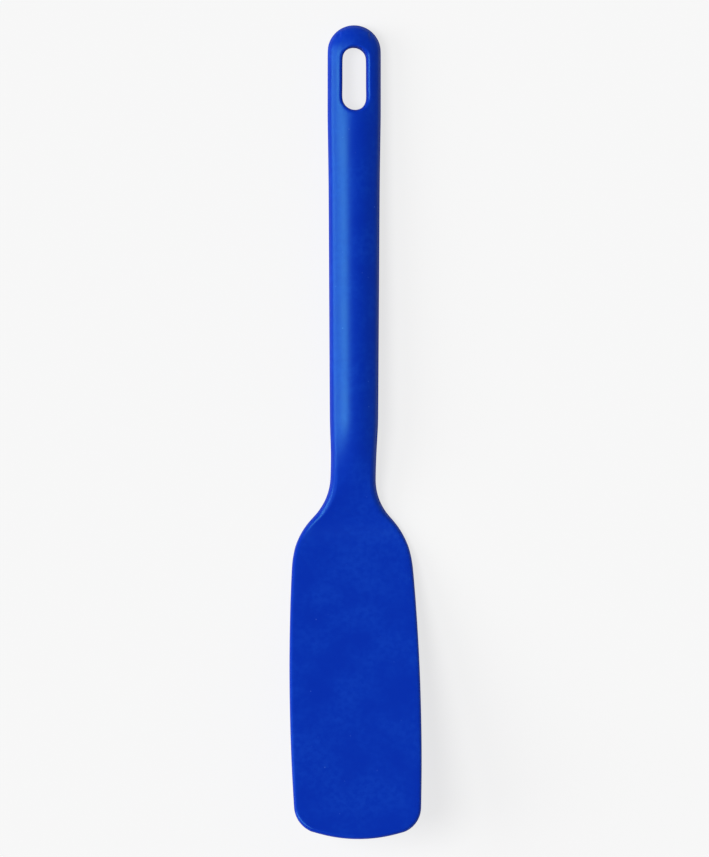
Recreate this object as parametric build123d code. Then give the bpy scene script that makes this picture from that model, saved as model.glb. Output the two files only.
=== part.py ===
from build123d import *
from math import asin, atan2, cos, pi, radians, sin, sqrt, tan
import os

# Silicone spatula lying on its back: a stiff core under one seamless silicone skin.
# Millimetres. +Z is up, +Y points to the hanging slot, X goes across the blade.

# Line of the whole tool, seen from the side, as distances along the table
grip_run = 155.0           # handle's end to the bend above the neck
neck_run = 31.4            # that bend to the heel
blade_run = 113.9          # heel to the blade's tip
neck_angle = 16.3          # fall of the neck to the table, degrees
blade_angle = 16.2         # rise of the blade from the table, degrees
bend_radius = 75.0
heel_radius = 24.0

# Handle
handle_end_width = 19.7
handle_mid_width = 19.0
handle_mid_after_slot = 22.0
handle_neck_width = 17.9
handle_thickness = 10.0
taper_start_after_slot = 4.5
taper_start_radius = 200.0
taper_radius = 1000.0
crown_share = 0.34         # how much of the edge the handle's crown takes

# Neck and shoulders, with distances back from the heel or on from it
waist_width = 16.7
waist_start_before_heel = 39.4
waist_end_before_heel = 26.9
waist_start_radius = 150.0
waist_end_radius = 200.0
flank_start_before_heel = 10.8
flank_end_after_heel = 2.9
flank_end_width = 43.4
flank_start_radius = 20.5
flank_end_radius = 28.5

# Blade
blade_width = 48.5
blade_full_after_heel = 41.6
blade_full_radius = 740.0
widest_after_heel = 69.6
blade_end_width = 46.2
tip_rise = 5.4             # height of the tip's arc over the blade's end
tip_corner_radius = 9.8
edge_band = 0.3            # flat at the parting line, between the two edge radii

# Thickness along the line
thinning_before_heel = 40.4
heel_thickness = 3.9
blade_thin_after_heel = 28.6
blade_thickness = 2.6
thinning_radius = 100.0
heel_thickness_radius = 60.0
blade_thin_radius = 200.0
flat_before_heel = 7.0     # from here to the tip the faces have no crown
flat_crown = 0.01          # a crown lower than this is drawn as a straight line

# Hanging slot
slot_width = 9.1
slot_length = 23.3
slot_from_end = 8.2
slot_rim_radius = 1.3
straight_past_rim = 0.7    # the handle keeps its width to here, past the slot's rim

# Handle core
core_wall = 1.8            # silicone over the core
slot_lining = 1.6          # silicone between the slot and the core's eye
core_nose_before_heel = 32.0
key_hole_diameter = 4.0    # the silicone joins through these holes
key_hole_count = 3
first_key_from_slot = 16.0
key_hole_pitch = 24.0

# Blade plate and its tang
plate_thickness = 0.6
plate_edge_cover = 5.2     # silicone beyond the plate, at the blade's sides and tip
plate_corner_radius = 7.0
plate_neck_radius = 12.0
plate_flank_start_after_heel = 0.0
plate_flank_end_after_heel = 15.0
tang_width = 10.0
tang_length = 36.0         # part of the tang that lies in the core
lock_hole_diameter = 4.0
lock_rows = 6
lock_columns = 3
lock_from_plate_side = 6.05    # side to the middle of the outer holes
first_lock_after_heel = 24.0
last_lock_before_plate_end = 19.7

# Rivets through core and tang
rivet_shank_diameter = 3.0
rivet_head_diameter = 5.6
rivet_head_height = 1.2
rivet_sink = 0.5           # heads lie this far under the core's crown
rivet_pitch = 14.0
rivet_from_tang_end = 8.0
rivet_count = 2

# Sections of the outer body
grip_section_count = 10
neck_section_count = 18
blade_section_count = 8
core_section_count = 5
overrun = 5.0              # cutting tools run past the faces by this much
upright_limit = 0.001      # the slot's walls stand straight up, within this

# Distances from the handle's end
heel_at = grip_run + neck_run
total_run = heel_at + blade_run
widest_at = heel_at + widest_after_heel
slot_at = slot_from_end + slot_length / 2
slot_end_at = slot_from_end + slot_length
straight_end_at = slot_end_at + slot_rim_radius + straight_past_rim
core_nose_at = heel_at - core_nose_before_heel
tang_end_at = core_nose_at - tang_length
cap_at = handle_end_width / 2


def rounded_line(corners, corner_radii):
    """Value and slope of a line through the corners, each inner one rounded by an arc."""
    arcs = []
    for before, corner, after, radius in zip(corners, corners[1:], corners[2:], corner_radii):
        slope_in = atan2(corner[1] - before[1], corner[0] - before[0])
        slope_out = atan2(after[1] - corner[1], after[0] - corner[0])
        side = 1 if slope_out > slope_in else -1
        reach = radius * tan(abs(slope_out - slope_in) / 2)
        start = (corner[0] - reach * cos(slope_in), corner[1] - reach * sin(slope_in))
        end_distance = corner[0] + reach * cos(slope_out)
        centre = (start[0] - side * radius * sin(slope_in), start[1] + side * radius * cos(slope_in))
        arcs.append((start[0], end_distance, centre, radius, side))

    def at(distance):
        for start_distance, end_distance, centre, radius, side in arcs:
            if start_distance < distance < end_distance:
                along = distance - centre[0]
                value = centre[1] - side * sqrt(radius**2 - along**2)
                return value, asin(side * along / radius)
        for start, end in zip(corners, corners[1:]):
            if distance <= end[0] or end is corners[-1]:
                rate = (end[1] - start[1]) / (end[0] - start[0])
                return start[1] + rate * (distance - start[0]), atan2(rate, 1)

    return at


# Height of the middle line: the heel and the handle's end both rest on the table
heel_turn = radians(neck_angle + blade_angle)
heel_height = heel_thickness / 2 - heel_radius * (1 / cos(heel_turn / 2) - 1)
bend_height = heel_height + neck_run * tan(radians(neck_angle))
tip_height = heel_height + blade_run * tan(radians(blade_angle))
middle_corners = [
    (0, handle_thickness / 2),
    (grip_run, bend_height),
    (heel_at, heel_height),
    (total_run, tip_height),
]
middle_line = rounded_line(middle_corners, [bend_radius, heel_radius])
half_width = rounded_line(
    [
        (0, handle_end_width / 2),
        (slot_end_at + taper_start_after_slot, handle_end_width / 2),
        (slot_end_at + handle_mid_after_slot, handle_mid_width / 2),
        (heel_at - waist_start_before_heel, handle_neck_width / 2),
        (heel_at - waist_end_before_heel, waist_width / 2),
        (heel_at - flank_start_before_heel, waist_width / 2),
        (heel_at + flank_end_after_heel, flank_end_width / 2),
        (heel_at + blade_full_after_heel, blade_width / 2),
        (widest_at, blade_width / 2),
    ],
    [
        taper_start_radius,
        taper_radius,
        waist_start_radius,
        waist_end_radius,
        flank_start_radius,
        flank_end_radius,
        blade_full_radius,
    ],
)
half_thickness = rounded_line(
    [
        (0, handle_thickness / 2),
        (heel_at - thinning_before_heel, handle_thickness / 2),
        (heel_at, heel_thickness / 2),
        (heel_at + blade_thin_after_heel, blade_thickness / 2),
        (total_run, blade_thickness / 2),
    ],
    [thinning_radius, heel_thickness_radius, blade_thin_radius],
)


def corner_share(distance):
    """Edge radius as a share of the half thickness: the crown fades out over the neck."""
    fade_start = heel_at - thinning_before_heel
    fade_end = heel_at - flat_before_heel
    fade = min(max((distance - fade_start) / (fade_end - fade_start), 0), 1)
    return 1 - crown_share * (1 + cos(pi * fade)) / 2


def middle_point(distance):
    return Vector(0, -distance, middle_line(distance)[0])


def face_plane(distance):
    """Plane of the blade or handle at a distance, its normal pointing up."""
    slope = middle_line(distance)[1]
    return Plane(middle_point(distance), x_dir=(1, 0, 0), z_dir=(0, sin(slope), cos(slope)))


def section_plane(distance):
    """Plane square to the middle line, its own Y pointing up through the thickness."""
    slope = middle_line(distance)[1]
    return Plane(middle_point(distance), x_dir=(1, 0, 0), z_dir=(0, -cos(slope), sin(slope)))


def section_points(distance, inset):
    """Right upper quarter of a section: crown top, crown end, edge middle, edge end."""
    band = edge_band / 2
    width = half_width(distance)[0] - inset
    height = half_thickness(distance)[0]
    radius = corner_share(distance) * (height - band) - inset
    height = height - inset
    rise = height - band
    centre_x = width - radius
    if rise - radius < flat_crown:
        crown_end = Vector(centre_x, height)
        turn = pi / 2
    else:
        crown_radius = (centre_x**2 + rise**2 - radius**2) / (2 * (rise - radius))
        turn = atan2(crown_radius - rise, centre_x)
        crown_end = Vector(centre_x + radius * cos(turn), band + radius * sin(turn))
    edge_middle = Vector(centre_x + radius * cos(turn / 2), band + radius * sin(turn / 2))
    return Vector(0, height), crown_end, edge_middle, Vector(width, band)


def mirrored(point, x_side, y_side):
    return Vector(point.X * x_side, point.Y * y_side)


def section_wire(distance, inset=0):
    """Closed outline of a section: crown, edge, flat band and edge, on each side in turn."""
    top, crown_end, edge_middle, edge_end = section_points(distance, inset)
    edges = []
    for side in (1, -1):
        left_crown_end = mirrored(crown_end, -side, side)
        right_crown_end = mirrored(crown_end, side, side)
        if crown_end.Y == top.Y:
            edges.append(Line(left_crown_end, right_crown_end))
        else:
            edges.append(ThreePointArc(left_crown_end, mirrored(top, side, side), right_crown_end))
        band_start = mirrored(edge_end, side, side)
        band_end = mirrored(edge_end, side, -side)
        edges.append(ThreePointArc(right_crown_end, mirrored(edge_middle, side, side), band_start))
        edges.append(Line(band_start, band_end))
        next_crown_end = mirrored(crown_end, side, -side)
        edges.append(ThreePointArc(band_end, mirrored(edge_middle, side, -side), next_crown_end))
    return section_plane(distance) * Wire([edge.edge() for edge in edges])


def body_loft(distances, inset=0):
    return Solid.make_loft([section_wire(distance, inset) for distance in distances])


def rounded_cap(distance, inset=0):
    """Handle's round end: half of the section turned about its own thickness."""
    section = make_face(section_wire(distance, inset).edges())
    plane = section_plane(distance)
    half = split(section, bisect_by=Plane(plane.origin, z_dir=plane.x_dir), keep=Keep.TOP)
    return revolve(half, axis=Axis(plane.origin, plane.y_dir), revolution_arc=180)


def spread(start, end, count):
    return [start + (end - start) * step / count for step in range(count)]


def blade_tip():
    """Flat end of the blade, from its widest place to the tip, with rounded edges."""
    plane = face_plane(widest_at)
    length = (total_run - widest_at) / cos(radians(blade_angle))
    start = Vector(blade_width / 2, 0)
    corner = Vector(blade_end_width / 2, tip_rise - length)
    left_corner = mirrored(corner, -1, 1)
    outline = [
        TangentArc(start, corner, tangent=(0, -1)),
        ThreePointArc(corner, Vector(0, -length), left_corner),
        TangentArc(mirrored(start, -1, 1), left_corner, tangent=(0, -1)),
        Line(mirrored(start, -1, 1), start),
    ]
    face = make_face([edge.edge() for edge in outline])
    face = fillet(face.vertices().sort_by(Axis.Y)[:2], tip_corner_radius)
    slab = extrude(face, blade_thickness / 2, both=True)
    rim = slab.edges().filter_by(GeomType.CIRCLE)
    slab = fillet(rim, (blade_thickness - edge_band) / 2)
    return plane * slab


def slot_cutter(grow):
    """Upright slot of the mould's pin, wider than the slot all round by the given grow."""
    outline = SlotOverall(slot_length + 2 * grow, slot_width + 2 * grow, rotation=90)
    return Pos(0, -slot_at, -overrun) * extrude(outline, handle_thickness + 2 * overrun)


def slotted_end():
    """Handle's round end and straight stretch, with the hanging slot and its rounded rims."""
    length = (straight_end_at - cap_at) / cos(middle_line(cap_at)[1])
    solid = rounded_cap(cap_at) + extrude(make_face(section_wire(cap_at).edges()), length)
    solid -= slot_cutter(0)
    upright = solid.faces().filter_by(lambda face: abs(face.normal_at().Z) < upright_limit)
    walls = upright.filter_by(GeomType.PLANE) + upright.filter_by(GeomType.CYLINDER)
    rims = [edge for edge in walls.edges() if abs(edge.tangent_at(0).Z) < 1 - upright_limit]
    return fillet(rims, slot_rim_radius)


def outer_body():
    fade_start = heel_at - thinning_before_heel
    flat_start = heel_at - flat_before_heel
    stations = spread(straight_end_at, fade_start, grip_section_count)
    stations += spread(fade_start, flat_start, neck_section_count)
    stations += spread(flat_start, widest_at, blade_section_count)
    return slotted_end() + body_loft(stations + [widest_at]) + blade_tip()


def handle_core():
    """Stiff bar with an eye round the slot, holes for the silicone keys and the tang's slit."""
    stations = spread(cap_at, core_nose_at, core_section_count) + [core_nose_at]
    bar = rounded_cap(cap_at, core_wall) + body_loft(stations, core_wall)
    bar -= slot_cutter(slot_lining)
    for number in range(key_hole_count):
        distance = slot_end_at + first_key_from_slot + number * key_hole_pitch
        bar -= face_plane(distance) * Cylinder(key_hole_diameter / 2, handle_thickness)
    return bar


def blade_plate():
    """Thin spring plate along the middle line, with a tang, shoulders and lock holes."""
    plate_end_at = total_run - plate_edge_cover
    ends = [(tang_end_at, middle_line(tang_end_at)[0]), (plate_end_at, middle_line(plate_end_at)[0])]
    corners = [ends[0]] + middle_corners[1:3] + [ends[1]]
    path = FilletPolyline(*[(0, -distance, height) for distance, height in corners],
                          radius=[bend_radius, heel_radius])
    ribbon = sweep(section_plane(tang_end_at) * Rectangle(blade_width, plate_thickness), path=path)
    head_half = blade_width / 2 - plate_edge_cover
    right_side = [
        (tang_width / 2, -tang_end_at),
        (tang_width / 2, -heel_at - plate_flank_start_after_heel),
        (head_half, -heel_at - plate_flank_end_after_heel),
        (head_half, -plate_end_at),
    ]
    left_side = [(-across, along) for across, along in reversed(right_side)]
    corner_radii = [plate_neck_radius, plate_neck_radius, plate_corner_radius]
    rounded = FilletPolyline(*right_side, *left_side, radius=corner_radii + corner_radii[::-1])
    outline = make_face([rounded, Line(left_side[-1], right_side[0])])
    plate = ribbon & extrude(outline, tip_height + overrun)
    grid_width = 2 * (head_half - lock_from_plate_side)
    grid_start = heel_at + first_lock_after_heel
    grid_end = plate_end_at - last_lock_before_plate_end
    across_pitch = grid_width / (lock_columns - 1)
    along_pitch = (grid_end - grid_start) / (lock_rows - 1)
    grid_plane = face_plane((grid_start + grid_end) / 2)
    for place in GridLocations(across_pitch, along_pitch, lock_columns, lock_rows):
        plate -= grid_plane * place * Cylinder(lock_hole_diameter / 2, overrun)
    return plate


def rivet(distance):
    """Headed pin through the core and the tang, its heads sunk into the core."""
    reach = half_thickness(distance)[0] - core_wall - rivet_sink
    pin = Cylinder(rivet_shank_diameter / 2, 2 * reach)
    for side in (1, -1):
        head_middle = side * (reach - rivet_head_height / 2)
        pin += Pos(0, 0, head_middle) * Cylinder(rivet_head_diameter / 2, rivet_head_height)
    return face_plane(distance) * pin


def rivet_room(distance):
    """The rivet and the mouths of its two sinkings, open to the core's crown."""
    room = rivet(distance)
    reach = half_thickness(distance)[0] - core_wall - rivet_sink
    for side in (1, -1):
        mouth = Cylinder(rivet_head_diameter / 2, overrun)
        room += face_plane(distance) * Pos(0, 0, side * (reach + overrun / 2)) * mouth
    return room


body = outer_body()
plate = blade_plate()
core = handle_core()
rivets = []
for number in range(rivet_count):
    distance = tang_end_at + rivet_from_tang_end + number * rivet_pitch
    rivets.append(rivet(distance))
    core -= rivet_room(distance)
    plate -= rivets[-1]
core -= plate
skin = body - core - plate
for pin in rivets:
    skin -= pin

parts = {"silicone_skin": skin, "handle_core": core, "blade_plate": plate}
for number, pin in enumerate(rivets, start=1):
    parts[f"tang_rivet_{number}"] = pin

box = body.bounding_box()
to_origin = Pos(-box.center().X, -box.center().Y, -box.min.Z)
os.makedirs("parts", exist_ok=True)
for name, part in parts.items():
    placed = to_origin * part
    print(name, placed.is_valid, len(placed.solids()), round(placed.volume, 1), placed.bounding_box())
    export_step(placed, f"parts/{name}.step")
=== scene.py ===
import bmesh
import bpy
from math import asin, atan2, cos, dist, hypot, pi, radians, sin, sqrt, tan
from mathutils import Matrix, Vector


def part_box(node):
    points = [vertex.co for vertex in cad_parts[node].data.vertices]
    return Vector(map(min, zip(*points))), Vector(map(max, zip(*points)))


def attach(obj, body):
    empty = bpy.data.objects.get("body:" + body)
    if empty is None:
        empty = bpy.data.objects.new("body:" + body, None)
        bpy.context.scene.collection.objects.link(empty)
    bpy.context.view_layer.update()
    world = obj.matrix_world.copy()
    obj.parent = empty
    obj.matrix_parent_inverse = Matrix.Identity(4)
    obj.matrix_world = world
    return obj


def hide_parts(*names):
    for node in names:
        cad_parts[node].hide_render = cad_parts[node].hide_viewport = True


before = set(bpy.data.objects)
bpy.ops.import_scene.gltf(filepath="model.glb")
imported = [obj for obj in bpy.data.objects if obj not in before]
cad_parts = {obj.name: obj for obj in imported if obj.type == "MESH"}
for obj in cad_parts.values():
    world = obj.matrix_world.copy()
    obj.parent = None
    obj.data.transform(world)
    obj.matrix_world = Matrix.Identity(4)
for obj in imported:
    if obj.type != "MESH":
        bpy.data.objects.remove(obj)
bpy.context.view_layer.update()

# Metres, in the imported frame: +Z is up from the table, +Y points to the hanging slot

# Line of the tool seen from the side, as distances along the table from the handle's end
grip_run = 0.155
neck_run = 0.0314
blade_run = 0.1139
neck_angle = radians(16.3)
blade_angle = radians(16.2)
bend_radius = 0.075
heel_radius = 0.024

# Handle
handle_end_width = 0.0197
handle_mid_width = 0.0190
handle_mid_after_slot = 0.022
handle_neck_width = 0.0179
handle_thickness = 0.010
taper_start_after_slot = 0.0045
crown_share = 0.34

# Neck and shoulders, with distances back from the heel or on from it
waist_width = 0.0167
waist_start_before_heel = 0.0394
waist_end_before_heel = 0.0269
flank_start_before_heel = 0.0108
flank_end_after_heel = 0.0029
flank_end_width = 0.0434
outline_radii = [0.2, 1.0, 0.15, 0.2, 0.0205, 0.0285, 0.74]     # one for each bend of the outline

# Blade
blade_width = 0.0485
blade_full_after_heel = 0.0416
widest_after_heel = 0.0696
blade_end_width = 0.0462
tip_rise = 0.0054
tip_corner_radius = 0.0098
edge_band = 0.0003         # upright band between the rounded edges of the two faces

# Thickness along the line
thinning_before_heel = 0.0404
heel_thickness = 0.0039
blade_thin_after_heel = 0.0286
blade_thickness = 0.0026
flat_before_heel = 0.007   # from here to the tip the faces have no crown
thickness_radii = [0.1, 0.06, 0.2]

# Hanging slot
slot_width = 0.0091
slot_length = 0.0233
slot_from_end = 0.0082
slot_rim_radius = 0.0013

# Rows and columns of the cage that the smoothing turns into the silicone skin
column_shares = (0, 0.25, 0.49, 0.74, 1)
quarter_steps = 4          # points on a quarter of the slot's end, and half of those on the handle's end
slot_side_steps = 4
rows_over_slot = 2         # rows between the handle's end and the slot
grip_steps = 9
bend_steps = 8
neck_steps = 6
heel_steps = 11
shoulder_steps = 6
blade_steps = 7
rim_steps = 4
past_slot = 0.0039         # first plain row after the slot
past_corner = 0.0012       # last plain row before the rounding of the tip's corner
near = 0.00002             # points closer than this count as the same place
flat_crown = 0.00001       # a crown lower than this counts as flat
place_digits = 6           # decimals that tell the rows of the new grid apart
smoothing_levels = 2

# Worked out from these: places from the handle's end, and radii
heel_at = grip_run + neck_run
total_run = heel_at + blade_run
widest_at = heel_at + widest_after_heel
slot_end = slot_from_end + slot_length
cap_radius = handle_end_width / 2
slot_radius = slot_width / 2


def rounded_line(corners, corner_radii):
    """Value and slope of a line through the corners, each inner one rounded by an arc."""
    arcs = []
    for before, corner, after, radius in zip(corners, corners[1:], corners[2:], corner_radii):
        slope_in = atan2(corner[1] - before[1], corner[0] - before[0])
        slope_out = atan2(after[1] - corner[1], after[0] - corner[0])
        side = 1 if slope_out > slope_in else -1
        reach = radius * tan(abs(slope_out - slope_in) / 2)
        start = (corner[0] - reach * cos(slope_in), corner[1] - reach * sin(slope_in))
        end = corner[0] + reach * cos(slope_out)
        centre = (start[0] - side * radius * sin(slope_in), start[1] + side * radius * cos(slope_in))
        arcs.append((start[0], end, centre, radius, side))

    def at(distance):
        for start, end, centre, radius, side in arcs:
            if start < distance < end:
                along = distance - centre[0]
                return centre[1] - side * sqrt(radius**2 - along**2), asin(side * along / radius)
        for start, end in zip(corners, corners[1:]):
            if distance <= end[0] or end is corners[-1]:
                rate = (end[1] - start[1]) / (end[0] - start[0])
                return start[1] + rate * (distance - start[0]), atan2(rate, 1)

    return at


heel_turn = neck_angle + blade_angle
heel_height = heel_thickness / 2 - heel_radius * (1 / cos(heel_turn / 2) - 1)
middle_line = rounded_line(
    [
        (0, handle_thickness / 2),
        (grip_run, heel_height + neck_run * tan(neck_angle)),
        (heel_at, heel_height),
        (total_run, heel_height + blade_run * tan(blade_angle)),
    ],
    [bend_radius, heel_radius],
)
half_width = rounded_line(
    [
        (0, handle_end_width / 2),
        (slot_end + taper_start_after_slot, handle_end_width / 2),
        (slot_end + handle_mid_after_slot, handle_mid_width / 2),
        (heel_at - waist_start_before_heel, handle_neck_width / 2),
        (heel_at - waist_end_before_heel, waist_width / 2),
        (heel_at - flank_start_before_heel, waist_width / 2),
        (heel_at + flank_end_after_heel, flank_end_width / 2),
        (heel_at + blade_full_after_heel, blade_width / 2),
        (widest_at, blade_width / 2),
    ],
    outline_radii,
)
half_thickness = rounded_line(
    [
        (0, handle_thickness / 2),
        (heel_at - thinning_before_heel, handle_thickness / 2),
        (heel_at, heel_thickness / 2),
        (heel_at + blade_thin_after_heel, blade_thickness / 2),
        (total_run, blade_thickness / 2),
    ],
    thickness_radii,
)
grip_tilt = middle_line(0)[1]


def unbent(distance):
    """Length of the middle line from the handle's end to a distance along the table."""
    steps = 400
    line = [(distance * step / steps, middle_line(distance * step / steps)[0]) for step in range(steps + 1)]
    return sum(dist(start, end) for start, end in zip(line, line[1:]))


def edge_form(distance):
    """Radius and turn of the edge's arc, and radius of the crown, None where it is flat."""
    rise = half_thickness(distance)[0] - edge_band / 2
    fade_start = heel_at - thinning_before_heel
    fade_end = heel_at - flat_before_heel
    fade = min(max((distance - fade_start) / (fade_end - fade_start), 0), 1)
    radius = (1 - crown_share * (1 + cos(pi * fade)) / 2) * rise
    if rise - radius < flat_crown:
        return radius, pi / 2, None
    reach = half_width(distance)[0] - radius
    crown_radius = (reach**2 + rise**2 - radius**2) / (2 * (rise - radius))
    return radius, atan2(crown_radius - rise, reach), crown_radius


def crown_height(distance, across):
    """Height of the crowned face over the middle, this far from the centre line."""
    top = half_thickness(distance)[0]
    crown_radius = edge_form(distance)[2]
    if crown_radius is None:
        return top
    return top - crown_radius + sqrt(crown_radius**2 - across**2)


def round_off(distance):
    """How far the rounding of the edge reaches from the corner of crown and upright wall."""
    radius, turn, crown_radius = edge_form(distance)
    return radius * tan(turn / 2)


def corner_height(distance):
    """Height of that corner over the middle."""
    if edge_form(distance)[2] is None:
        return half_thickness(distance)[0]
    return edge_band / 2 + round_off(distance)


# Length of the blade's end, from the widest place, and the arcs that shape it
tip_at = unbent(total_run)
end_length = tip_at - tip_rise - unbent(widest_at)
end_half = blade_end_width / 2
tip_radius = (end_half**2 + tip_rise**2) / (2 * tip_rise)
side_lean = atan2(blade_width - blade_end_width, end_length)
corner_turn = pi / 2 - side_lean - asin(end_half / tip_radius)


def swollen(radius, step):
    """Radius for points this turn apart, so that smoothing them brings back the wanted one."""
    return radius * 3 / (2 + cos(step))


corner_reach = swollen(tip_corner_radius, corner_turn / rim_steps) * tan(corner_turn / 2)


def side_width(distance):
    """Half width of the outline: past the widest place the sides draw in along an arc."""
    if distance <= widest_at:
        return half_width(distance)[0]
    share = (unbent(distance) - unbent(widest_at)) / end_length
    return (blade_width - (blade_width - blade_end_width) * share**2) / 2


def spread(start, end, count):
    """Evenly spaced values from the start on, without the end itself."""
    return [start + (end - start) * step / count for step in range(count)]


bend_reach = bend_radius * tan((neck_angle + grip_tilt) / 2)
heel_reach = heel_radius * tan(heel_turn / 2)
bend_end = grip_run + bend_reach
heel_start = heel_at - heel_reach
heel_end = heel_at + heel_reach
shoulder_end = heel_at + blade_thin_after_heel
last_row_at = total_run - (tip_rise + corner_reach + past_corner) * cos(blade_angle)
grip_rows = spread(slot_end + past_slot, grip_run - bend_reach, grip_steps)
bend_rows = spread(grip_run - bend_reach, bend_end, bend_steps)
bend_rows += spread(bend_end, heel_start, neck_steps) + spread(heel_start, heel_end, heel_steps) + [heel_end]
blade_rows = spread(heel_end, shoulder_end, shoulder_steps)[1:]
blade_rows += spread(shoulder_end, last_row_at, blade_steps) + [last_row_at]
plain_rows = grip_rows + bend_rows + blade_rows


def arc_points(centre, radius, steps, way):
    """Points on a quarter of a round end, from the centre line to the side."""
    turn = pi / 2 / steps
    radius = swollen(radius, turn)
    return [
        Vector((radius * sin(turn * step), centre - way * radius * cos(turn * step)))
        for step in range(steps + 1)
    ]


def between(inner, edge):
    """The point half way between these two."""
    return inner.lerp(edge, 0.5)


def row_of(inner, edge):
    """A row from its points at the slot to the outline, with one more half way."""
    return inner + [between(inner[-1], edge), edge]


def slot_rows():
    """Rows round the slot, each with its points (across, along) from the centre line out."""
    corner = quarter_steps // 2
    outer = arc_points(cap_radius, cap_radius, 2 * quarter_steps, 1)
    upper = arc_points(slot_from_end + slot_radius, slot_radius, quarter_steps, 1)
    lower = arc_points(slot_end - slot_radius, slot_radius, quarter_steps, -1)
    cap = outer[:quarter_steps + 1]
    beside = outer[quarter_steps + 1:]
    inside_slot = [Vector((0, (slot_from_end + slot_end) / 2))] * corner
    ring = [between(inner, edge) for inner, edge in zip(upper[:corner + 1], cap)]
    rows = [cap, ring + [between(upper[corner], cap[-1]), beside[0]]]
    rows.append(row_of(upper[:corner + 1], beside[1]))
    rows.append(row_of(inside_slot + [upper[corner + 1]], beside[2]))
    slot_places = spread(upper[-1].y, lower[-1].y, slot_side_steps)
    edge_places = spread(beside[-1].y, lower[-1].y, slot_side_steps)
    for slot_along, edge_along in zip(slot_places, edge_places):
        wall = Vector((slot_radius, slot_along))
        rows.append(row_of(inside_slot + [wall], Vector((cap_radius, edge_along))))
    for wall in lower[:corner:-1]:
        rows.append(row_of(inside_slot + [wall], Vector((cap_radius, wall.y))))
    rows.append(row_of(lower[:corner + 1], Vector((cap_radius, lower[1].y))))
    return rows


def cage_rows():
    """Distance along the table and points of each row, from the handle's end to the tip."""
    rows = []
    for points in slot_rows():
        rows.append(([point.y * cos(grip_tilt) for point in points], points))
    for distance in plain_rows:
        along = unbent(distance)
        width = side_width(distance)
        points = [Vector((share * width, along)) for share in column_shares]
        rows.append(([distance] * len(column_shares), points))
    # Smoothing draws the tip's arc in by this much, so the cage stands out by it
    swell = (column_shares[1] * end_half) ** 2 / (6 * tip_radius)
    centre = tip_at + swell - tip_radius
    points = []
    for share in column_shares:
        across = share * end_half
        points.append(Vector((across, centre + sqrt(tip_radius**2 - across**2))))
    rows.append(([total_run] * len(column_shares), points))
    return rows


def pull(point, place):
    """Moves one point of the cage to its place."""
    bpy.ops.mesh.select_all(action="DESELECT")
    point.select_set(True)
    bpy.ops.transform.translate(value=place - point.co)


def select(elements, wanted):
    """Selects those of the elements that are wanted, and nothing else."""
    bpy.ops.mesh.select_all(action="DESELECT")
    for element in elements:
        if wanted(element):
            element.select_set(True)


def finish_with(kind, **settings):
    """Adds a modifier with these settings and applies it."""
    bpy.ops.object.modifier_add(type=kind)
    modifier = bpy.context.object.modifiers[-1]
    for name, value in settings.items():
        setattr(modifier, name, value)
    bpy.ops.object.modifier_apply(modifier=modifier.name)


def set_out_cage(piece):
    """Pulls each point of the grid to its place on the upper right quarter, laid flat."""
    rows = cage_rows()
    columns = len(column_shares)
    mesh = bmesh.from_edit_mesh(piece.data)
    points = sorted(mesh.verts, key=lambda point: (-round(point.co.y, place_digits), point.co.x))
    for number, (distances, places) in enumerate(rows):
        for column, (distance, place) in enumerate(zip(distances, places)):
            distance = max(distance, cap_radius)
            if column == columns - 1 or number == 0:
                height = corner_height(distance)
            else:
                height = crown_height(distance, hypot(place.x, max(cap_radius - place.y, 0)))
            pull(points[number * columns + column], Vector((place.x, -place.y, height)))
    slot_row_numbers = range(rows_over_slot, len(slot_rows()))
    slot_columns = range(quarter_steps // 2 + 1)
    rim = {points[row * columns + column] for row in slot_row_numbers for column in slot_columns}
    bpy.ops.mesh.select_mode(type="FACE")
    select(mesh.faces, lambda face: all(point in rim for point in face.verts))
    bpy.ops.mesh.delete(type="FACE")


def raise_walls(piece):
    """Upright walls down to the middle, round the outline and in the slot, then the tip's corner."""
    bpy.ops.mesh.select_mode(type="EDGE")
    mesh = bmesh.from_edit_mesh(piece.data)
    select(mesh.edges, lambda edge: edge.is_boundary and max(point.co.x for point in edge.verts) > near)
    bpy.ops.mesh.extrude_region_move()
    bpy.ops.transform.resize(value=(1, 1, 0), center_override=(0, 0, 0))
    mesh = bmesh.from_edit_mesh(piece.data)
    corner = max(mesh.verts, key=lambda point: point.co.x - point.co.y).co.xy
    select(mesh.edges, lambda edge: all(dist(point.co.xy, corner) < near for point in edge.verts))
    bpy.ops.mesh.bevel(offset=corner_reach, segments=rim_steps, affect="EDGES", clamp_overlap=False)


def rim_reach(across):
    """How far the slot's rim is rounded off where the crown has this distance from the middle."""
    return slot_rim_radius * tan((pi / 2 + asin(across / edge_form(cap_radius)[2])) / 2)


def weigh_rims(piece):
    """Marks how far each rim is to be rounded off, as a share of the widest rounding."""
    upright_lean = sin(pi / 8)
    widest = max(round_off(cap_radius), rim_reach(slot_radius))
    lengths = [(unbent(distance), distance) for distance in plain_rows]
    mesh = bmesh.from_edit_mesh(piece.data)
    weight = mesh.edges.layers.float.new("bevel_weight_edge")
    for edge in mesh.edges:
        upright = [face for face in edge.link_faces if abs(face.normal.z) < upright_lean]
        if len(edge.link_faces) != 2 or len(upright) != 1:
            continue
        middle = (edge.verts[0].co + edge.verts[1].co) / 2
        beside_slot = slot_from_end - near < -middle.y < slot_end + past_slot / 2
        if beside_slot and middle.x < (slot_radius + cap_radius) / 2:
            reach = rim_reach(middle.x)
        else:
            distance = next((distance for length, distance in lengths if length > -middle.y), total_run)
            reach = round_off(max(distance, cap_radius))
        edge[weight] = reach / widest
    return widest


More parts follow.
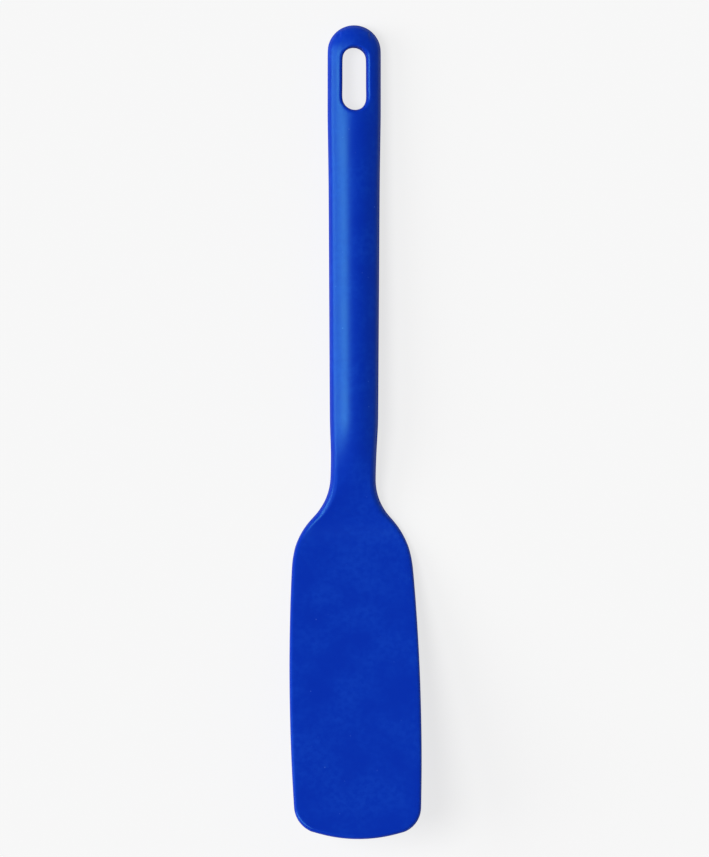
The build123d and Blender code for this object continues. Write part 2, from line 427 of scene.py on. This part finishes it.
def fold(piece):
    """Bends the flat body row by row onto the middle line, from the tip back to the handle."""
    bpy.ops.mesh.select_mode(type="VERT")
    mesh = bmesh.from_edit_mesh(piece.data)
    line = grip_rows[-1:] + bend_rows + blade_rows[:1]
    for before, distance, after in reversed(list(zip(line, line[1:], line[2:]))):
        height = middle_line(distance)[0]
        slope_in = atan2(height - middle_line(before)[0], distance - before)
        slope_out = atan2(middle_line(after)[0] - height, after - distance)
        along = -unbent(distance)
        for limit in (along + near, along - near):
            select(mesh.verts, lambda point: point.co.y < limit)
            bpy.ops.transform.rotate(value=(slope_out - slope_in) / 2, orient_axis="X",
                                     center_override=(0, along, 0))
    bpy.ops.mesh.select_all(action="SELECT")
    bpy.ops.transform.rotate(value=grip_tilt, orient_axis="X", center_override=(0, 0, 0))
    lowest = min(point.co.z for point in mesh.verts)
    bpy.ops.transform.translate(value=(0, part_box("silicone_skin")[1].y, -lowest))


def silicone_body():
    """The whole seamless skin, from a flat quarter: set out, walled, mirrored, rounded, folded."""
    columns = len(column_shares) - 1
    rows = len(cage_rows()) - 1
    bpy.ops.object.select_all(action="DESELECT")
    bpy.ops.mesh.primitive_grid_add(x_subdivisions=columns, y_subdivisions=rows, size=total_run)
    piece = bpy.context.object
    piece.name = "silicone_body"
    bpy.ops.object.mode_set(mode="EDIT")
    bpy.ops.mesh.select_mode(type="VERT")
    set_out_cage(piece)
    raise_walls(piece)
    widest = weigh_rims(piece)
    bpy.ops.object.mode_set(mode="OBJECT")
    finish_with("MIRROR", use_axis=(True, False, True), merge_threshold=near)
    finish_with("BEVEL", width=widest, segments=rim_steps, limit_method="WEIGHT", use_clamp_overlap=False)
    bpy.ops.object.mode_set(mode="EDIT")
    bpy.ops.mesh.select_all(action="SELECT")
    bpy.ops.mesh.normals_make_consistent(inside=False)
    mesh = bmesh.from_edit_mesh(piece.data)
    height = mesh.verts.layers.float.new("from_parting_line")
    for point in mesh.verts:
        point[height] = point.co.z
    fold(piece)
    bpy.ops.object.mode_set(mode="OBJECT")
    finish_with("SUBSURF", levels=smoothing_levels, render_levels=smoothing_levels)
    bpy.ops.object.shade_smooth()
    return piece


# Finishes

def give(tree, socket, value):
    """Brings a plain value, or what another node puts out, to this input."""
    if isinstance(value, bpy.types.NodeSocket):
        tree.links.new(value, socket)
    else:
        socket.default_value = value


def new_node(tree, kind, inputs=None, **settings):
    """A node with these settings, and its inputs given as values or as sockets to link."""
    node = tree.nodes.new(kind)
    for name, value in settings.items():
        setattr(node, name, value)
    for name, value in (inputs or {}).items():
        give(tree, node.inputs[name], value)
    return node


def new_group(name, inputs, outputs):
    """An empty shader group with these sockets, each given as its name and kind."""
    tree = bpy.data.node_groups.new(name, "ShaderNodeTree")
    for label, kind in inputs:
        tree.interface.new_socket(label, in_out="INPUT", socket_type="NodeSocket" + kind)
    for label, kind in outputs:
        tree.interface.new_socket(label, in_out="OUTPUT", socket_type="NodeSocket" + kind)
    return tree, tree.nodes.new("NodeGroupInput").outputs, tree.nodes.new("NodeGroupOutput").inputs


def ranged(tree, value, low, high, new_low, new_high, kind="SMOOTHSTEP"):
    """Value between low and high, brought between two new ends."""
    node = new_node(tree, "ShaderNodeMapRange", {
        "Value": value, "From Min": low, "From Max": high, "To Min": new_low, "To Max": new_high,
    }, interpolation_type=kind)
    return node.outputs["Result"]


def mixed(tree, share, first, second):
    """The first colour, turned into the second by this share."""
    node = new_node(tree, "ShaderNodeMix", data_type="RGBA")
    factor, one, other = node.inputs[0], node.inputs[6], node.inputs[7]     # places of the colour sockets
    for socket, value in ((factor, share), (one, first), (other, second)):
        give(tree, socket, value)
    return node.outputs[2]


def computed(tree, operation, *terms):
    """What a sum or another plain operation makes of these terms."""
    node = new_node(tree, "ShaderNodeMath", operation=operation)
    for socket, value in zip(node.inputs, terms):
        give(tree, socket, value)
    return node.outputs[0]


def cloudy_tone_group():
    """Soft uneven cloudy patches, as a mask from 0 to 1: handling and moulding marks, and on the silicone
    also a painted sheen haze.
    """
    given_sockets = [("Place", "Vector"), ("Scale", "Float")]
    tree, given, out = new_group("cloudy_tone", given_sockets, [("Mask", "Float")])
    detail = 3.0
    softness = 0.55
    pale_from, pale_to = 0.3, 0.7
    patches = new_node(tree, "ShaderNodeTexNoise", {
        "Vector": given["Place"], "Scale": given["Scale"], "Detail": detail, "Roughness": softness,
    })
    tree.links.new(ranged(tree, patches.outputs["Fac"], pale_from, pale_to, 0.0, 1.0), out["Mask"])
    return tree


def fine_grain_group():
    """Height of a fine blasted or cast grain: two sizes of noise, the finer one weaker."""
    given_sockets = [("Place", "Vector"), ("Scale", "Float")]
    tree, given, out = new_group("fine_grain", given_sockets, [("Height", "Float")])
    detail = 2.0
    finer_by = 2.7
    finer_share = 0.35
    finer_scale = computed(tree, "MULTIPLY", given["Scale"], finer_by)
    heights = [
        new_node(tree, "ShaderNodeTexNoise", {
            "Vector": given["Place"], "Scale": scale, "Detail": detail,
        }).outputs["Fac"]
        for scale in (given["Scale"], finer_scale)
    ]
    weak = computed(tree, "MULTIPLY", heights[1], finer_share)
    tree.links.new(computed(tree, "ADD", heights[0], weak), out["Height"])
    return tree


def dust_group():
    """Sparse pale specks that cling to the surface, as a mask from 0 to 1."""
    given_sockets = [("Place", "Vector"), ("Scale", "Float"), ("Kept Share", "Float")]
    tree, given, out = new_group("clinging_dust", given_sockets, [("Mask", "Float")])
    speck_core, speck_edge = 0.05, 0.13
    cells = new_node(tree, "ShaderNodeTexVoronoi", {"Vector": given["Place"], "Scale": given["Scale"]})
    speck = ranged(tree, cells.outputs["Distance"], speck_core, speck_edge, 1.0, 0.0)
    chances = new_node(tree, "ShaderNodeSeparateColor", {"Color": cells.outputs["Color"]}).outputs
    kept = computed(tree, "LESS_THAN", chances["Red"], given["Kept Share"])
    kept_speck = computed(tree, "MULTIPLY", speck, kept)
    tree.links.new(computed(tree, "MULTIPLY", kept_speck, chances["Green"]), out["Mask"])
    return tree


def finish(name, base, roughness, **shader_values):
    """A material with its shader's plain values set; gives its tree, shader and place socket."""
    material = bpy.data.materials.new(name)
    material.use_nodes = True
    tree = material.node_tree
    shader = tree.nodes["Principled BSDF"]
    shader.inputs["Base Color"].default_value = base
    shader.inputs["Roughness"].default_value = roughness
    for label, value in shader_values.items():
        shader.inputs[label.replace("_", " ")].default_value = value
    place = new_node(tree, "ShaderNodeTexCoord").outputs["Object"]
    return material, tree, shader, place


def placed_group(tree, group, inputs):
    """The mask or height that a group puts out for these inputs."""
    return new_node(tree, "ShaderNodeGroup", inputs, node_tree=group).outputs[0]


def raise_grain(tree, shader, relief, strength, height):
    """Brings this relief to the shader's normal as a bump of the given height."""
    bump = new_node(tree, "ShaderNodeBump", {"Strength": strength, "Distance": height, "Height": relief})
    tree.links.new(bump.outputs["Normal"], shader.inputs["Normal"])


cloudy_tone = cloudy_tone_group()
fine_grain = fine_grain_group()
clinging_dust = dust_group()


def blue_silicone():
    """Satin moulded silicone: a fine grain, patches of random tone and painted sheen with scuffs, dust and
    the mould's parting line.
    """
    blue = (0.0, 0.0175, 0.385, 1)
    # Lighter patch colour: partly random tone of the silicone, partly a painted sheen haze
    tone_and_sheen_blue = (0.0, 0.021, 0.40, 1)
    scuff_blue = (0.002, 0.032, 0.43, 1)
    speck_blue = (0.05, 0.13, 0.55, 1)
    line_blue = (0.0, 0.012, 0.33, 1)
    sheen = (0.22, 0.9, 1.0, 1)
    sheen_level = 0.28
    satin, patch_satin = 0.32, 0.36
    edge_start, edge_full = 0.4, 0.8
    edge_dulling = 0.55        # silicone seen at a low angle looks matt
    tone_and_sheen_scale = 70.0
    scuff_scale = 520.0
    dust_scale = 420.0
    dust_share = 0.15
    dust_strength = 0.7
    dust_dulling = 0.2
    grain_scale = 2600.0
    grain_strength = 0.25
    grain_height = 0.00002
    line_half = 0.00006
    line_rise = 1.5
    material, tree, shader, place = finish("blue_silicone", blue, satin)
    shader.inputs["Specular IOR Level"].default_value = sheen_level
    shader.inputs["Specular Tint"].default_value = sheen
    patches = placed_group(tree, cloudy_tone, {"Place": place, "Scale": tone_and_sheen_scale})
    scuffs = placed_group(tree, cloudy_tone, {"Place": place, "Scale": scuff_scale})
    dust = placed_group(tree, clinging_dust, {"Place": place, "Scale": dust_scale, "Kept Share": dust_share})
    grain = placed_group(tree, fine_grain, {"Place": place, "Scale": grain_scale})
    height = new_node(tree, "ShaderNodeAttribute", attribute_name="from_parting_line").outputs["Fac"]
    from_line = computed(tree, "ABSOLUTE", height)
    line = ranged(tree, from_line, line_half, 2 * line_half, 1.0, 0.0)
    # Painted sheen haze: the cloudy patches lighten the blue, which also varies the tone at random
    colour = mixed(tree, patches, blue, tone_and_sheen_blue)
    colour = mixed(tree, computed(tree, "MULTIPLY", patches, scuffs), colour, scuff_blue)
    colour = mixed(tree, line, colour, line_blue)
    colour = mixed(tree, computed(tree, "MULTIPLY", dust, dust_strength), colour, speck_blue)
    tree.links.new(colour, shader.inputs["Base Color"])
    dull = ranged(tree, patches, 0.0, 1.0, satin, patch_satin, "LINEAR")
    dull = computed(tree, "ADD", dull, computed(tree, "MULTIPLY", dust, dust_dulling))
    facing = new_node(tree, "ShaderNodeLayerWeight").outputs["Facing"]
    matt_edge = ranged(tree, facing, edge_start, edge_full, 0.0, edge_dulling)
    tree.links.new(computed(tree, "ADD", dull, matt_edge), shader.inputs["Roughness"])
    relief = computed(tree, "ADD", grain, computed(tree, "MULTIPLY", line, line_rise))
    raise_grain(tree, shader, relief, grain_strength, grain_height)
    return material


def filled_nylon():
    """Dark glass-filled nylon of the handle's core, with a fibrous, cloudy surface."""
    dark = (0.018, 0.019, 0.021, 1)
    pale = (0.045, 0.046, 0.049, 1)
    smooth, dull = 0.48, 0.62
    fibre_stretch = (1.0, 0.15, 1.0)
    fibre_scale = 900.0
    grain_scale = 1800.0
    grain_strength = 0.4
    grain_height = 0.00003
    material, tree, shader, place = finish("filled_nylon", dark, dull)
    along = new_node(tree, "ShaderNodeMapping", {"Vector": place, "Scale": fibre_stretch}).outputs["Vector"]
    fibres = placed_group(tree, cloudy_tone, {"Place": along, "Scale": fibre_scale})
    grain = placed_group(tree, fine_grain, {"Place": place, "Scale": grain_scale})
    tree.links.new(mixed(tree, fibres, dark, pale), shader.inputs["Base Color"])
    tree.links.new(ranged(tree, fibres, 0.0, 1.0, smooth, dull, "LINEAR"), shader.inputs["Roughness"])
    raise_grain(tree, shader, grain, grain_strength, grain_height)
    return material


def rolled_steel(name, bright, dark, stretch):
    """Steel with marks of rolling or drawing that run along one way."""
    smooth, dull = 0.24, 0.38
    mark_scale = 1500.0
    stain_scale = 120.0
    mark_strength = 0.2
    mark_height = 0.00001
    material, tree, shader, place = finish(name, bright, dull, Metallic=1.0)
    along = new_node(tree, "ShaderNodeMapping", {"Vector": place, "Scale": stretch}).outputs["Vector"]
    marks = placed_group(tree, cloudy_tone, {"Place": along, "Scale": mark_scale})
    stains = placed_group(tree, cloudy_tone, {"Place": place, "Scale": stain_scale})
    tree.links.new(mixed(tree, stains, bright, dark), shader.inputs["Base Color"])
    tree.links.new(ranged(tree, marks, 0.0, 1.0, smooth, dull, "LINEAR"), shader.inputs["Roughness"])
    raise_grain(tree, shader, marks, mark_strength, mark_height)
    return material


def dress_inner_pieces():
    """The core, the plate and the rivets keep their CAD form and get their own finishes."""
    plate_bright, plate_dark = (0.56, 0.55, 0.53, 1), (0.44, 0.43, 0.42, 1)
    rivet_bright, rivet_dark = (0.60, 0.60, 0.58, 1), (0.50, 0.49, 0.47, 1)
    rolled_along = (1, 0.04, 1)
    drawn_along = (1, 1, 0.05)
    plate_steel = rolled_steel("rolled_spring_steel", plate_bright, plate_dark, rolled_along)
    drawn_steel = rolled_steel("drawn_rivet_steel", rivet_bright, rivet_dark, drawn_along)
    finishes = {
        "handle_core": filled_nylon(),
        "blade_plate": plate_steel,
        "tang_rivet_1": drawn_steel,
        "tang_rivet_2": drawn_steel,
    }
    for name, material in finishes.items():
        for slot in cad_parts[name].material_slots:
            slot.material = material


# Stage, light and camera

paper = (0.93, 0.93, 0.93, 1)


def seen_rays(tree):
    """1 for rays of the camera, of reflections and of clear materials, which see the pale studio."""
    rays = tree.nodes.new("ShaderNodeLightPath").outputs
    seen = computed(tree, "MAXIMUM", rays["Is Camera Ray"], rays["Is Glossy Ray"])
    return computed(tree, "MAXIMUM", seen, rays["Is Transmission Ray"])


def pale_stage():
    """A plain pale floor that keeps the tool's shadow."""
    floor_size = 24.0
    matt = 1.0
    even_share = 0.8           # how much of the seen floor is even paper tone; the rest takes the shadow
    bpy.ops.object.select_all(action="DESELECT")
    bpy.ops.mesh.primitive_plane_add(size=floor_size, location=(0, 0, 0))
    floor = bpy.context.object
    floor.name = "pale_floor"
    material, tree, shader = finish("pale_paper", paper, matt)[:3]
    shader.inputs["Specular IOR Level"].default_value = 0.0
    even = new_node(tree, "ShaderNodeEmission", {"Color": paper})
    share = computed(tree, "MULTIPLY", seen_rays(tree), even_share)
    both = new_node(tree, "ShaderNodeMixShader", {"Fac": share})
    tree.links.new(shader.outputs["BSDF"], both.inputs[1])
    tree.links.new(even.outputs["Emission"], both.inputs[2])
    tree.links.new(both.outputs[0], tree.nodes["Material Output"].inputs["Surface"])
    floor.data.materials.append(material)


def studio_light():
    """Two lamps from the left and a weak white fill; seen rays meet the floor's paper tone."""
    white = (1, 1, 1, 1)
    fill_strength = 0.12
    lamps = {                  # where each shines from, its strength and how wide it looks
        "key_light": (Vector((-0.46, 0.0, 0.89)), 2.1, radians(25)),
        "side_light": (Vector((-0.88, 0.0, 0.47)), 2.0, radians(34)),
    }
    world = bpy.data.worlds.new("studio")
    bpy.context.scene.world = world
    world.use_nodes = True
    tree = world.node_tree
    seen = tree.nodes["Background"]
    seen.inputs["Color"].default_value = paper
    fill = new_node(tree, "ShaderNodeBackground", {"Color": white, "Strength": fill_strength})
    choice = new_node(tree, "ShaderNodeMixShader", {"Fac": seen_rays(tree)})
    tree.links.new(fill.outputs[0], choice.inputs[1])
    tree.links.new(seen.outputs[0], choice.inputs[2])
    tree.links.new(choice.outputs[0], tree.nodes["World Output"].inputs["Surface"])
    for name, (shines_from, strength, width) in lamps.items():
        lamp = bpy.data.lights.new(name, "SUN")
        lamp.energy, lamp.angle = strength, width
        holder = bpy.data.objects.new(name, lamp)
        bpy.context.scene.collection.objects.link(holder)
        holder.rotation_euler = (-shines_from).to_track_quat("-Z", "Y").to_euler()


def photo_camera():
    """The photograph's view: from far above, leaning a little to the left."""
    view_height = 0.3160       # what the picture takes in from top to bottom, at the aim
    distance = 6.0
    aside = radians(4.9)       # the camera leans to the left of straight above
    below = radians(1.2)       # and towards the blade
    turn = radians(-0.19)      # and is turned a little in its own plane
    aim = Vector((0.0, 0.00107, 0.012))
    back = Vector((-sin(aside), -sin(below), cos(aside) * cos(below))).normalized()
    data = bpy.data.cameras.new("camera")
    camera = bpy.data.objects.new("camera", data)
    bpy.context.scene.collection.objects.link(camera)
    bpy.context.scene.camera = camera
    data.lens = data.sensor_width * distance / view_height
    upward = Vector((sin(turn), cos(turn), 0))
    up = (upward - back * upward.dot(back)).normalized()
    right = up.cross(back)
    place = Matrix((right, up, back)).transposed().to_4x4()
    place.translation = aim + back * distance
    camera.matrix_world = place


# The dressed part in its picture

bpy.context.scene.view_settings.view_transform = "Standard"
body = silicone_body()
body.data.materials.append(blue_silicone())
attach(body, "root")
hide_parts("silicone_skin")
dress_inner_pieces()
pale_stage()
studio_light()
photo_camera()
